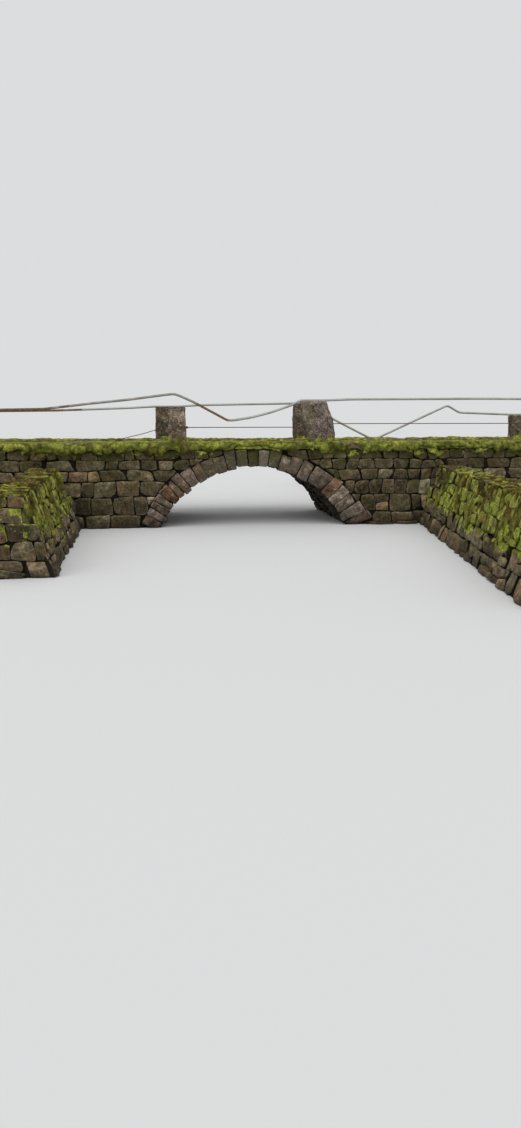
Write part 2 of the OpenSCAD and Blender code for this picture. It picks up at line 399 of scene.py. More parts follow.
class Pile:
    """Gathers stones and turns them into one mesh; seed is a number, or draws shared with other piles."""

    def __init__(self, kind, seed):
        self.around, self.face_scales = kind
        self.rng = np.random.default_rng(seed)
        self.rows = {key: [] for key in ("points", "shift", "tint", "share")}
        self.quads = []
        self.triangles = []
        self.count = 0

    def add_stone(self, outline, place, depth, front=PROUD, bevel=0.015, rough_front=0.022,
                  side_rings=(-0.045,), both_faces=False, corner=0.05, look=None, shaded_sides=True):
        """A stone with a split face: outline in (u, v), the face at w = front, its tail at w = -depth."""
        rng, around = self.rng, self.around
        centre = centroid(outline)
        size = math.sqrt(area(outline))
        edge = resample(round_corners(outline, corner * size), around)
        tilt = rng.uniform(-0.09, 0.09, 2)
        chips = [[rng.uniform(*ends) for ends in CHIP_RANGES] for _ in range(4)]
        base = front + rng.uniform(-1, 1) * rough_front

        def face_height(flat):
            local = flat - centre
            height = base + local @ tilt
            for slope, angle, reach in chips:
                along = local @ np.array([math.cos(angle), math.sin(angle)])
                height = height - slope * np.maximum(0, along - reach * size)
            return np.maximum(height, 0.25 * height - 0.024)

        rings = []
        shares = []

        def ring(scale, height, joint=0.0, rim=0.0, split=False):
            """A ring of points at a height, or that high over the split face."""
            flat = centre + (edge - centre) * scale
            rings.append(np.column_stack([flat, height + (face_height(flat) if split else np.zeros(around))]))
            shares.append((joint, rim))

        # The joint share is painted shade: full at the tail, most on shaded sides, some at the edge of the
        # face
        low = -depth
        if both_faces:
            for scale in reversed(self.face_scales):
                ring(scale, low + rng.uniform(-0.004, 0.004))
            ring(0.99, low + bevel)
            for height in np.linspace(low + 2 * bevel, front - 2.2 * bevel, len(side_rings) + 2):
                ring(1.0, height)
        else:
            ring(0.8, low, joint=1.0)
            for height in side_rings:
                ring(0.98, height, joint=0.9 * shaded_sides)
        ring(1.0, -bevel, 0.35 * (shaded_sides and not both_faces), 0.5, split=True)
        for i, scale in enumerate(self.face_scales):
            ring(scale, -0.3 * bevel * (i == 0), 0.0, (1.0, 0.45, 0.0)[min(i, 2)], split=True)

        index = np.arange(len(rings) * around).reshape(-1, around)
        ahead = np.roll(index, -1, axis=1)
        tail = np.full(around, index.size)
        quads = np.stack([index[:-1], ahead[:-1], ahead[1:], index[1:]], axis=-1).reshape(-1, 4)
        fans = (tail, ahead[0], index[0]), (index[-1], ahead[-1], tail + 1)
        triangles = np.vstack([np.column_stack(fan) for fan in fans])
        if mirrored(place, *centre):
            quads, triangles = quads[:, ::-1], triangles[:, ::-1]
        self.quads.append(quads + self.count)
        self.triangles.append(triangles + self.count)

        tint = rng.random(3)
        if look is not None:
            tint[:2] = look
        ends = np.array([[*centre, low], [*centre, face_height(centre[None])[0]]])
        points = place(*np.vstack(rings + [ends]).T)
        every = np.ones((len(points), 1))
        share = np.vstack([np.repeat(shares, around, axis=0), shares[:1], [(0, 0)]])
        shift = rng.uniform(-50, 50, 3)
        added = {"points": points, "shift": every * shift, "tint": every * tint, "share": share}
        for key, rows in added.items():
            self.rows[key].append(rows)
        self.count += len(points)

    def roughen(self, amounts):
        """Moves every point by noise; amounts lists pairs of metres and waves per metre."""
        points, shifts = (np.vstack(self.rows[key]) for key in ("points", "shift"))
        moved = points.copy()
        for index, (metres, per_metre) in enumerate(amounts):
            moved += metres * noise_vectors(points + shifts, per_metre, 7 + index)
        moved[:, 2] = np.maximum(moved[:, 2], 0.0)
        self.rows["points"] = [moved]

    def make(self, name):
        faces = np.vstack(self.quads).tolist() + np.vstack(self.triangles).tolist()
        obj = mesh_object(name, np.vstack(self.rows["points"]), faces)
        joint, rim = np.vstack(self.rows["share"]).T
        for key, values in (("tint", np.vstack(self.rows["tint"])), ("joint", joint), ("rim", rim)):
            write_attribute(obj, key, values)
        return obj


def grow_moss(obj, cover, thick, seed):
    """Covers the mesh with low moss where cover(points, normals) is high, and stores the share."""
    points, normals = read_points(obj), read_points(obj, "normal")
    wish = cover(points, normals) + 0.55 * fractal(points, 3.1, seed) + 0.35 * noise(points, 13, seed + 5)
    share = smooth_step(wish, 0.42, 0.62)
    lumps = 0.55 + 0.45 * fractal(points, 16, seed + 9)
    points = points + normals * (share * thick * lumps)[:, None]
    points[:, 2] = np.maximum(points[:, 2], 0.0)
    obj.data.vertices.foreach_set("co", points.astype(np.float32).ravel())
    write_attribute(obj, "moss", share)
    # How far each point faces up, kept for painted overhead light and shade
    write_attribute(obj, "up", normals[:, 2])
    obj.data.update()


def finish_stones(pile, name, material, cover, replaced=None, sharp=38, thick=0.016, seed=301):
    obj = pile.make(name)
    grow_moss(obj, cover, thick, seed)
    settle(obj, material, replaced, sharp)


# Surfaces that stones are laid on


def planar(quad, inside):
    """A flat face given by four corners: a function that places (u, v, w), and its outline in (u, v)."""
    quad = np.array(quad, dtype=float)
    origin = quad[0]
    u_axis = (quad[1] - origin) / np.linalg.norm(quad[1] - origin)
    out = np.cross(quad[1] - origin, quad[3] - origin)
    out = out / np.linalg.norm(out)
    if out @ (np.array(inside) - origin) > 0:
        out = -out
    v_axis = np.cross(out, u_axis)
    if v_axis[2] < -1e-6:
        v_axis = -v_axis

    def place(u, v, w):
        return origin + np.outer(u, u_axis) + np.outer(v, v_axis) + np.outer(w, out)

    region = np.stack([(quad - origin) @ u_axis, (quad - origin) @ v_axis], axis=1)
    return place, counter_clockwise(region)


def face_place(face):
    """Front or back face of the bridge: u is along +X, v is up, w is out of the face."""
    def place(u, v, w):
        return np.column_stack([u, face * (HALF_W + w), v])
    return place


def soffit_place(u, v, w):
    """Underside of the arch: u runs along the arc from the left, v is along +Y, w is towards the axis."""
    angle = u / ARCH_R
    radius = ARCH_R - w
    return np.column_stack([radius * np.sin(angle), v, ARCH_Z + radius * np.cos(angle)])


# Arch

# Bed joints of the front arch stones, in degrees from the vertical; the right haunch has the largest stones
FRONT_BEDS = (
    -66.6, -62.2, -58.4, -54.2, -50.4, -45.9, -41.8, -37.2, -32.0, -27.0, -20.6, -14.8, -9.4, -3.2, 2.6,
    7.4, 13.4, 18.6, 24.4, 31.0, 41.2, 47.3, 52.3, 57.8, 63.6, 67.6,
)
# Outer radius, brightness and hue of the last seven of these stones
RIGHT_HAUNCH = (
    (2.47, 0.55, 0.34), (2.47, 0.50, 0.30), (2.55, 0.60, 0.74), (2.49, 0.95, 0.93), (2.51, 0.60, 0.58),
    (2.58, 0.75, 0.46), (2.66, 0.35, 0.10),
)
PALE = (1.0, 1.0)
# Angle from the vertical up to which the stones reach the edge slabs, and how far bed joints lean
CROWN_ANGLE = 0.26
LEAN = 0.012
# How far stones reach in under the slabs, how unevenly they end, and how much longer they are on a haunch
UNDER_SLABS = 0.012
INNER_PLAY = (-0.01, 0.01)
OUTER_PLAY = (-0.012, 0.018)
HAUNCH_MORE = (0.06, 0.13)


def bed_angles(rng, face):
    if face == FRONT:
        return np.radians(FRONT_BEDS)
    edges = np.concatenate([[0], np.cumsum(rng.uniform(0.15, 0.30, 24))])
    return (2 * edges / edges[-1] - 1) * (SPRING_ANGLE + 0.02)


def lay_ring(face, seed):
    """Face stones of the arch, and where they end: angles with outer radii, and the crown's two ends."""
    pile = Pile(RING_STONE, seed)
    rng = pile.rng
    edges = bed_angles(rng, face)
    leans = rng.uniform(-LEAN, LEAN, len(edges))
    middles, outers, crown = [], [], []
    for index, (a, b) in enumerate(zip(edges[:-1], edges[1:])):
        middle = (a + b) / 2
        outer = ARCH_R + RING_T + smooth_step(abs(middle), 0.25, 0.75) * rng.uniform(*HAUNCH_MORE)
        look = None
        from_right = len(edges) - 1 - index
        if face == FRONT and from_right <= len(RIGHT_HAUNCH):
            outer, *look = RIGHT_HAUNCH[-from_right]
        if face == FRONT and 0.05 < middle < 0.12:
            look = PALE
        under_slabs = (BED_Z + UNDER_SLABS - ARCH_Z) / math.cos(middle)
        outer = min(outer, under_slabs)
        middles.append(middle)
        outers.append(outer)
        if abs(middle) < CROWN_ANGLE:
            outer = under_slabs
            crown += [edges[index] + leans[index], edges[index + 1] + leans[index + 1]]
        inner = ARCH_R + rng.uniform(-0.028, 0.026)
        gap = HALF_JOINT * rng.uniform(0.5, 1.2)
        skew = rng.uniform(-0.004, 0.004, 4)
        corners = [
            (inner + rng.uniform(*INNER_PLAY), a + gap / inner + 0.3 * skew[0]),
            (inner + rng.uniform(*INNER_PLAY), b - gap / inner + 0.3 * skew[1]),
            (outer + rng.uniform(*OUTER_PLAY), b - gap / outer + 0.5 * skew[2] + leans[index + 1]),
            (outer + rng.uniform(*OUTER_PLAY), a + gap / outer + 0.5 * skew[3] + leans[index]),
        ]
        outline = np.array([[r * math.sin(t), ARCH_Z + r * math.cos(t)] for r, t in corners])
        outline = clip(counter_clockwise(outline), np.array([0.0, -1.0]), -0.002)
        outline = clip(outline, np.array([0.0, 1.0]), BED_Z + 0.004)
        if area(outline) > LEAST_CELL:
            pile.add_stone(
                outline, face_place(face), RING_TAIL, front=PROUD + 0.014, bevel=0.016, rough_front=0.024,
                side_rings=(-0.3, -0.2, -0.1, -0.02), corner=0.07, look=look,
            )
    pile.roughen(ROUGH_RING)
    return pile, (middles, outers, (min(crown), max(crown)))


def lay_soffit(seed):
    """Stones of the barrel between the two face rings."""
    pile = Pile(SOFFIT_STONE, seed)
    half_arc, half_y = SPRING_ANGLE * ARCH_R, HALF_W - RING_TAIL
    turned = rectangle(-half_arc, -half_y, half_arc, half_y)[:, ::-1]
    for cell in rubble_cells(pile.rng, turned, 0.46, 0.2):
        outline = counter_clockwise(cell[:, ::-1])
        pile.add_stone(outline, soffit_place, SOFFIT_TAIL, front=0.0, bevel=0.02, rough_front=0.018)
    pile.roughen(ROUGH_SOFFIT)
    return pile


# Face walls

# Courses of the front face from the foot up: their shares of its height, the upright joints right of the arch
FRONT_COURSES = (0.27, 0.36, 0.30, 0.22, 0.20, 0.19)
FRONT_PERPENDS = (
    (2.44, 2.88, 3.33, 3.62), (2.20, 2.52, 2.82, 3.31, 3.50, 3.78),
    (2.08, 2.39, 2.66, 2.92, 3.19, 3.45, 3.69), (2.22, 2.57, 2.90, 3.21, 3.48, 3.72),
    (1.90, 2.15, 2.50, 2.90, 3.22, 3.50, 3.77), (1.62, 1.88, 2.20, 2.64, 3.00, 3.31, 3.62),
)
FRONT_SPLITS = ((2.67, 0.45),)
# Stones of the front face right of the arch: place, brightness and hue
FRONT_RIGHT_STONES = (
    (2.69, 0.12, 0.75, 0.30), (3.14, 0.15, 0.70, 0.36), (3.50, 0.14, 0.35, 0.10), (3.86, 0.15, 0.4, 0.2),
    (2.66, 0.37, 0.95, 0.93), (2.40, 0.40, 0.10, 0.02), (2.41, 0.62, 0.25, 0.16), (2.68, 0.57, 0.20, 0.12),
    (3.08, 0.47, 0.70, 0.40), (3.44, 0.47, 0.55, 0.30), (3.80, 0.46, 0.3, 0.2), (3.57, 0.78, 1.00, 1.00),
    (3.88, 0.75, 0.3, 0.2), (3.06, 0.80, 0.35, 0.16), (3.33, 0.80, 0.45, 0.25), (2.79, 0.93, 0.90, 0.86),
    (2.55, 0.85, 0.20, 0.14), (2.24, 0.84, 0.25, 0.10), (3.08, 1.02, 0.40, 0.22), (2.73, 1.20, 0.80, 0.50),
    (3.05, 1.24, 0.50, 0.3), (3.57, 1.05, 0.45, 0.34), (3.34, 1.20, 0.60, 0.42), (2.42, 1.12, 0.35, 0.2),
    (2.02, 1.13, 0.40, 0.3), (2.24, 1.30, 0.50, 0.42), (1.76, 1.30, 0.4, 0.34), (2.52, 1.42, 0.5, 0.3),
    (2.02, 1.43, 0.35, 0.2), (2.86, 1.44, 0.55, 0.4), (3.16, 1.43, 0.3, 0.2), (3.46, 1.42, 0.5, 0.5),
    (3.80, 1.30, 0.4, 0.3), (3.78, 1.02, 0.4, 0.1),
)
# Low stones that stand out at the foot of the front face: left, right and top, and their brightness and hue
LEDGES = ((2.3, 2.95, 0.05), (2.97, 3.42, 0.065))
LEDGE_LOOK = (0.9, 0.3)
STRETCHES = ("left_abutment", "left_spandrel", "right_spandrel", "right_abutment")
# Joint between the ring and the face stones, at their outer ends and beside the crown's tall stones
RING_GAP = 0.008
CROWN_GAP = 0.012


def cut_at_ring(cell, ring):
    """The part of a face stone outside the ring, or none where little of it is left."""
    middles, outers, crown = ring
    arch_centre = np.array([0.0, ARCH_Z])
    out = centroid(cell) - arch_centre
    angle = math.atan2(out[0], out[1])
    if abs(angle) >= SPRING_ANGLE + 0.25:
        return cell
    limit = np.interp(angle, middles, outers) + RING_GAP
    if np.linalg.norm(cell - arch_centre, axis=1).max() < limit + 0.03:
        return None
    out = out / np.linalg.norm(out)
    cell = clip(cell, -out, -(limit + out @ arch_centre))
    end = crown[int(angle > 0)]
    beside = math.copysign(1, angle) * np.array([math.cos(end), -math.sin(end)])
    cell = clip(cell, -beside, -(CROWN_GAP + beside @ arch_centre))
    return cell if area(cell) >= 0.005 else None


def lay_face(face, seed, ring):
    """Rubble of a whole face, given back as one pile for each stretch of wall."""
    rng = np.random.default_rng(seed)
    known = np.array(FRONT_RIGHT_STONES)
    fixed = {}
    if face == FRONT:
        heights = np.array(FRONT_COURSES) * BED_Z / sum(FRONT_COURSES)
        fixed = {"heights": heights, "perpends": FRONT_PERPENDS, "splits": FRONT_SPLITS}
    piles = {name: Pile(FINE if face == FRONT else PLAIN, rng) for name in STRETCHES}
    for cell in rubble_cells(rng, rectangle(-HALF_L, 0.0, HALF_L, BED_Z), 0.34, 0.25, **fixed):
        away = np.linalg.norm(known[:, :2] - centroid(cell), axis=1)
        look = known[np.argmin(away), 2:] if face == FRONT and away.min() < 0.13 else None
        cell = cut_at_ring(cell, ring)
        if cell is not None:
            x = centroid(cell)[0]
            name = STRETCHES[int(x > -SPRING_X) + int(x > 0) + int(x > SPRING_X)]
            piles[name].add_stone(cell, face_place(face), RUBBLE_TAIL, look=look)
    if face == FRONT:
        for x0, x1, high in LEDGES:
            ledge = np.array([[x0, 0.0], [x1, 0.0], [x1 - 0.02, high], [x0 + 0.02, high]])
            piles["right_abutment"].add_stone(ledge, face_place(face), 0.0, 0.10, 0.01, look=LEDGE_LOOK)
    for pile in piles.values():
        pile.roughen(ROUGH_FACE)
    return piles


def lay_quad(pile, quad, inside, wide, tall):
    place, region = planar(quad, inside)
    for cell in rubble_cells(pile.rng, region, wide, tall, slant=0.05, chance=0.4):
        pile.add_stone(cell, place, RUBBLE_TAIL)


def lay_abutment_end(side, seed):
    pile = Pile(PLAIN, seed)
    quad = [(side * HALF_L, y, z) for y, z in rectangle(-HALF_W, 0, HALF_W, BED_Z)]
    lay_quad(pile, quad, (0, 0, BED_Z / 2), 0.36, 0.24)
    pile.roughen(ROUGH_FACE)
    return pile


# Wing walls

# Corners of the faces that show: near or far (from the bridge), in or out (from x = 0), low or high
WING_FACES = {
    "wet": "nil fil fih nih", "dry": "nol fol foh noh", "end": "fil fol foh fih", "top": "nih fih foh noh",
}
# Mean width and height of the stones on each
WING_RUBBLE = {"wet": (0.33, 0.23), "dry": (0.40, 0.28), "end": (0.32, 0.23), "top": (0.5, 0.42)}


def wing_faces(node):
    """The faces of a wing wall as lists of four corners, and a point inside it."""
    points = np.unique(np.round(read_points(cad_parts[node]), 4), axis=0)
    middle_z = points[:, 2].mean()
    reach = np.abs(points[:, 1]) - np.abs(points[:, 1]).min()
    corners = {}
    for level, at_level in (("l", points[:, 2] < middle_z), ("h", points[:, 2] > middle_z)):
        for place, at_place in (("n", reach < 0.01), ("f", reach > 0.5)):
            group = points[at_level & at_place]
            order = np.argsort(np.abs(group[:, 0]))
            corners[place + "i" + level] = group[order[0]]
            corners[place + "o" + level] = group[order[-1]]
    faces = {word: [corners[key] for key in keys.split()] for word, keys in WING_FACES.items()}
    return faces, sum(corners.values()) / len(corners)


def lay_wing(node, seed):
    """Stones of a wing wall: its inner, wet side with the end, and its outer, dry side with the top."""
    faces, inside = wing_faces(node)
    pile = Pile(FINE if "front" in node else PLAIN, seed)
    back = Pile(PLAIN, pile.rng)
    for part, word in ((pile, "wet"), (pile, "end"), (back, "dry"), (back, "top")):
        lay_quad(part, faces[word], inside, *WING_RUBBLE[word])
    for part in (pile, back):
        part.roughen(ROUGH_WING)
    return pile, back


# Dark cores behind the stones


def draw_in_faces(points):
    moved = points.copy()
    for axis, far in ((0, HALF_L), (1, HALF_W)):
        outer = np.abs(np.abs(points[:, axis]) - far) < 1e-3
        moved[outer, axis] -= RECESS * np.sign(points[outer, axis])
    return moved


def draw_in_barrel(points):
    moved = points.copy()
    out = points[:, [0, 2]] - (0, ARCH_Z)
    radius = np.linalg.norm(out, axis=1)
    inner = radius < ARCH_R + 0.01
    moved[np.ix_(inner, [0, 2])] += out[inner] / radius[inner, None] * RECESS
    return moved


def draw_in_wing(points):
    middle = points.mean(axis=0)
    moved = points.copy()
    far = np.abs(points[:, 1]) > np.abs(points[:, 1]).min() + 0.5
    moved[far, 1] -= RECESS * np.sign(middle[1])
    high = points[:, 2] > middle[2]
    moved[high, 2] -= RECESS
    for group in (far & high, far & ~high, ~far & high, ~far & ~high):
        across = points[group, 0].mean() - points[group, 0]
        moved[group, 0] += 1.15 * RECESS * np.sign(across)
    return moved


def make_core(node, draw_in, material):
    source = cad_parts[node]
    faces = [tuple(polygon.vertices) for polygon in source.data.polygons]
    settle(mesh_object(node + "_core", draw_in(read_points(source)), faces), material, node, 30)


# Moss that hangs over stones and joints as one blanket

SUNK = 0.035


def make_blanket(name, place, u_range, v_range, step, cover, thick, material):
    """A sheet on place(u, v): over the stones where cover(u, v, points) is high, under them elsewhere."""
    columns, rows = (max(2, int((high - low) / step)) for low, high in (u_range, v_range))
    u, v = map(np.ravel, np.meshgrid(np.linspace(*u_range, columns), np.linspace(*v_range, rows)))
    points = place(u, v, 0 * u)
    share = np.clip(cover(u, v, points), 0, 1)
    cushion = np.sqrt(np.abs(noise(points, 6.5, 401))) * (0.7 + 0.5 * noise(points, 2.3, 403))
    lumps = cushion + 0.35 * noise(points, 23, 402)
    height = -SUNK + share * (SUNK + thick * (0.3 + 1.1 * lumps))
    points = place(u, v, height) + 0.004 * noise_vectors(points, 40, 405)
    quads = grid(rows, columns)[1]
    quads = quads[share[quads].max(axis=1) > 0.03]
    used, quads = np.unique(quads, return_inverse=True)
    quads = quads.reshape(-1, 4)
    if mirrored(place, u[used[0]], v[used[0]]):
        quads = quads[:, ::-1]
    obj = mesh_object(name, points[used], quads.tolist())
    write_attribute(obj, "moss", share[used])
    # Low places between the cushions and how far the sheet faces up, kept for painted shade in the moss
    write_attribute(obj, "crease_shade", 1 - smooth_step(cushion[used], 0.12, 0.48))
    write_attribute(obj, "up", smooth_step(read_points(obj, "normal")[:, 2], -0.1, 0.75))
    settle(obj, material)


def edge_profile(face):
    """The line over the edge stones and down the face: a place function, and how far its corners are."""
    out_y = EDGE_OUT_Y - 0.004
    corners = np.array([
        (DECK_HALF_W - 0.14, DECK_Z - 0.012), (DECK_HALF_W + 0.1, DECK_Z - 0.004),
        (EDGE_OUT_Y - 0.06, DECK_Z - 0.004), (EDGE_OUT_Y - 0.022, DECK_Z - 0.014),
        (out_y, DECK_Z - 0.045), (out_y, BED_Z + 0.02), (EDGE_OUT_Y - 0.03, BED_Z - 0.02),
        (HALF_W + 0.012, BED_Z - 0.07), (HALF_W + 0.004, BED_Z - 0.34),
    ])
    along, at = follow(corners)

    def place(x, s, w):
        ahead = at(s + 0.03) - at(s - 0.03)
        dy, dz = (ahead / (np.linalg.norm(ahead, axis=1)[:, None] + 1e-9)).T
        y, z = at(s).T
        return np.column_stack([x, face * (y - w * dz), z + w * dy])

    return place, along


BARE_X = 2.06
BARE_HALF_LENGTH = 0.21


def bare_slab(x, face):
    """Share of the bare patch on the front edge, right of the arch."""
    return np.exp(-((x - BARE_X) / BARE_HALF_LENGTH) ** 4) * (face == FRONT)


def make_edge_moss(face, word, x0, x1, material):
    place, along = edge_profile(face)
    slab, brink, shoulder, side, lip = along[1:6]

    def cover(x, s, points):
        line = np.column_stack([x, np.full(len(x), 7.0 * face), np.zeros(len(x))])
        hang = 0.075 + 0.20 * fractal(line, 0.9, 501) + 0.12 * noise(line, 5.5, 502)
        runs = smooth_step(noise(line, 2.6, 506) + 0.55 * noise(line, 0.8, 507), -0.55, 0.1)
        hang = np.clip(hang * runs, 0, 0.17)
        if face == FRONT:
            hang += 0.035 * bell(x, -2.4, 0.9) - 0.06 * bell(x, -0.35, 0.85)
        hang += 0.02 * noise(line, 14, 508) + 0.045 * fractal(points, 11, 509)
        wish = 0.86 + 0.75 * fractal(points, 2.1, 503) + 0.35 * noise(points, 9, 504)
        share = smooth_step(wish, 0.28, 0.62)
        share = np.maximum(share, 0.8 * smooth_step(s, brink - 0.05, shoulder) * (s < side))
        share *= smooth_step(s + 0.08 * noise(line, 4, 505), 0.05, 0.20)
        bare = bare_slab(x + 0.03 * noise(points, 12, 510), face)
        share *= 1 - bare * smooth_step(s, slab + 0.08, brink + 0.02)
        return share * smooth_step(hang - (s - lip), -0.015, 0.035)

    make_blanket(word, place, (x0, x1), (0.0, along[-1]), 0.028, cover, 0.038, material)


# Moss on the faces of a wing wall: how much at its foot, how much more at its top, how thick, how streaky
WING_MOSS = (("wet", -0.26, 0.58, 0.04, 6.5), ("top", 0.542, 0.0, 0.04, 6.5), ("end", -0.32, 0.58, 0.022, 9))


def make_wing_moss(node, material):
    faces, inside = wing_faces(node)
    for word, base, more, thick, streaky in WING_MOSS:
        place, region = planar(faces[word], inside)
        (u0, v0), (u1, v1) = region.min(axis=0), region.max(axis=0)

        def cover(u, v, points):
            height = (v - v0) / (v1 - v0)
            streaks = np.column_stack([u * streaky + 2 * v, v * 1.8, np.full(len(u), 3.0)])
            lobes = np.column_stack([u * 1.5, v * 1.6, np.full(len(u), 9.0)])
            wish = base + more * smooth_step(height, 0.20, 0.55)
            wish = wish + 0.55 * noise(streaks, 1, 511) + 0.6 * fractal(lobes, 1, 512)
            ends = np.clip(np.minimum(u - u0, u1 - u) / 0.06, 0, 1)
            if word == "wet":
                ends = ends * smooth_step(v - v0, 0.22, 0.42)
                wish = wish - 0.3 * bell(u, 0, 0.9) * smooth_step(v - v0, 0.6, 0.85)
            if word == "end":
                sides = [region[k, 0] + (region[3 - k, 0] - region[k, 0]) * height for k in (0, 1)]
                inwards = np.minimum(u - np.minimum(*sides), np.maximum(*sides) - u)
                ends = ends * smooth_step(inwards, -0.01, 0.03)
            return smooth_step(wish, 0.38, 0.62) * ends

        over = 0.03 if word == "wet" else 0.0
        name = node + "_" + word + "_moss"
        make_blanket(name, place, (u0, u1), (v0, v1 + over), 0.034, cover, thick, material)


# Edge stones and deck

SLAB_LENGTHS = (0.45, 0.95)
SHORTEST_SLAB = 0.4
# Deck surface: size of its faces, its crown, depth of its two worn tracks, and where they are
DECK_STEP = 0.055
DECK_CROWN = 0.022
TRACK_DEPTH = 0.010
TRACK_Y = 0.42
TRACK_HALF_W = 0.2


def lay_edge(face, x0, x1, seed):
    """Slabs along an edge of the deck."""
    pile = Pile(SLAB, seed)
    rng = pile.rng

    def place(u, v, w):
        return np.column_stack([u, face * v, BED_Z + w])

    x = x0
    while x < x1 - 0.05:
        length = rng.uniform(*SLAB_LENGTHS)
        if x1 - (x + length) < SHORTEST_SLAB:
            length = x1 - x
        y0 = DECK_HALF_W + rng.uniform(-0.02, 0.03)
        y1 = EDGE_OUT_Y - rng.uniform(0.0, 0.035)
        outline = rectangle(x + HALF_JOINT, y0, x + length - HALF_JOINT, y1)
        outline[2, 0] += rng.uniform(-0.03, 0.03, 2)[1]
        pale = face == FRONT and x == x0 == SPRING_X
        pile.add_stone(
            counter_clockwise(outline), place, 0.0, front=DECK_Z - BED_Z - 0.012, bevel=0.02,
            rough_front=0.01, side_rings=(0.03, 0.06, 0.09), look=PALE if pale else None, shaded_sides=False,
        )
        x += length
    pile.roughen(ROUGH_SLAB)
    return pile


def make_deck(material):
    """Worn earth and gravel between the edge stones, a little crowned."""
    columns, rows = int(2 * HALF_L / DECK_STEP), int(2 * DECK_HALF_W / DECK_STEP)
    gx, gy = np.meshgrid(np.linspace(-HALF_L, HALF_L, columns), np.linspace(-DECK_HALF_W, DECK_HALF_W, rows))
    flat = np.column_stack([gx.ravel(), gy.ravel(), np.zeros(gx.size)])
    height = DECK_Z - 0.028 + DECK_CROWN * (1 - (flat[:, 1] / DECK_HALF_W) ** 2)
    height += 0.010 * fractal(flat, 2.3, 61) + 0.006 * noise(flat, 9, 62) + 0.004 * noise(flat, 21, 63)
    flat[:, 2] = height - TRACK_DEPTH * bell(np.abs(flat[:, 1]), TRACK_Y, TRACK_HALF_W)
    index, top = grid(rows, columns)
    rim = np.concatenate([index[0, :-1], index[:-1, -1], index[-1, :0:-1], index[:0:-1, 0]])
    skirt = flat[rim] * (1, 1, 0) + (0, 0, BED_Z)
    foot = len(flat) + np.arange(len(rim))
    sides = np.column_stack([rim, foot, np.roll(foot, -1), np.roll(rim, -1)])
    faces = top.tolist() + sides.tolist() + [foot[::-1].tolist()]
    settle(mesh_object("deck_surface", np.vstack([flat, skirt]), faces), material, "turf_deck", 50)


# Posts


def ordered(points):
    """Corners of a convex outline, counter-clockwise from the leftmost one."""
    points = np.unique(np.round(points, 4), axis=0)
    away = points - points.mean(axis=0)
    angle = np.arctan2(away[:, 1], away[:, 0])
    return points[np.argsort((angle - angle[0]) % (2 * math.pi))]


def make_post(node, seed, material, look):
    points = read_points(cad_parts[node])
    low_y, high_y = points[:, 1].min(), points[:, 1].max()
    outline = ordered(points[np.abs(points[:, 1] - low_y) < 1e-3][:, [0, 2]])
    foot = outline[:, 1].min()

    def place(u, v, w):
        return np.column_stack([u, low_y - w, v])

    def cover(p, n):
        return 0.75 - (p[:, 2] - foot) / 0.2

    pile = Pile(POST_STONE, seed)
    pile.add_stone(
        outline, place, high_y - low_y, front=0.0, bevel=0.018, rough_front=0.004, side_rings=(0,) * 7,
        both_faces=True, look=look,
    )
    pile.roughen(ROUGH_POST)
    finish_stones(pile, node + "_stone", material, cover, node, 40, 0.014, seed)


# Materials


class Nodes:
    """Short calls to build a node tree."""

    def __init__(self, owner):
        owner.use_nodes = True
        self.tree = owner.node_tree

    def feed(self, node, values):
        """Links or sets inputs of a node, by name or number."""
        for key, value in values.items():
            target = node.inputs[key]
            if isinstance(value, bpy.types.NodeSocket):
                self.tree.links.new(value, target)
            elif value is not None:
                target.default_value = (*value, 1) if target.type == "RGBA" else value

    def node(self, kind, output, values=(), **settings):
        """Adds a node and gives back one of its outputs."""
        made = self.tree.nodes.new(kind)
        for key, value in settings.items():
            setattr(made, key, value)
        self.feed(made, dict(values))
        return made.outputs[output]


